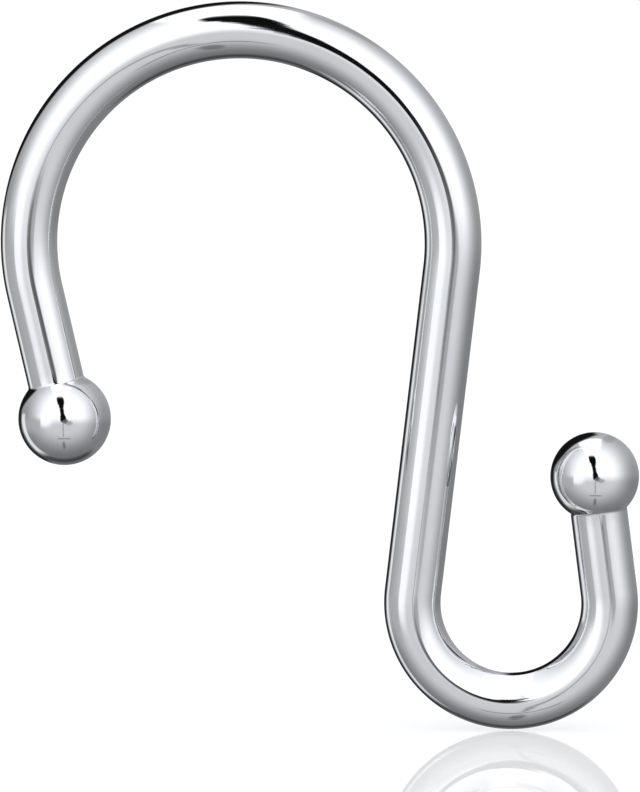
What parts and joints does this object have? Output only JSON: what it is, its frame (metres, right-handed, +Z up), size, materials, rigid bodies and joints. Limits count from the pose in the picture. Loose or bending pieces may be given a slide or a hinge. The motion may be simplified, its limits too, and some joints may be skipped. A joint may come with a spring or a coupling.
{
  "type": "shower curtain hook",
  "caption": "Open S-shaped shower curtain hook of bent round wire, with a wide loop over the rod, a small bend for the eyelet and a ball on each free end.",
  "frame": {"origin": "centre of the rod loop, on the wire's plane of symmetry", "axes": "+Z up as the hook hangs, +X towards the curtain side of the hook, +Y through the rod loop along the curtain rod"},
  "size_m": [0.0554, 0.0082, 0.0632],
  "materials": {
    "chrome": "polished chrome plating, mirror bright all over"
  },
  "bodies": {
    "root": {"hook": "chrome"}
  },
  "joints": []
}
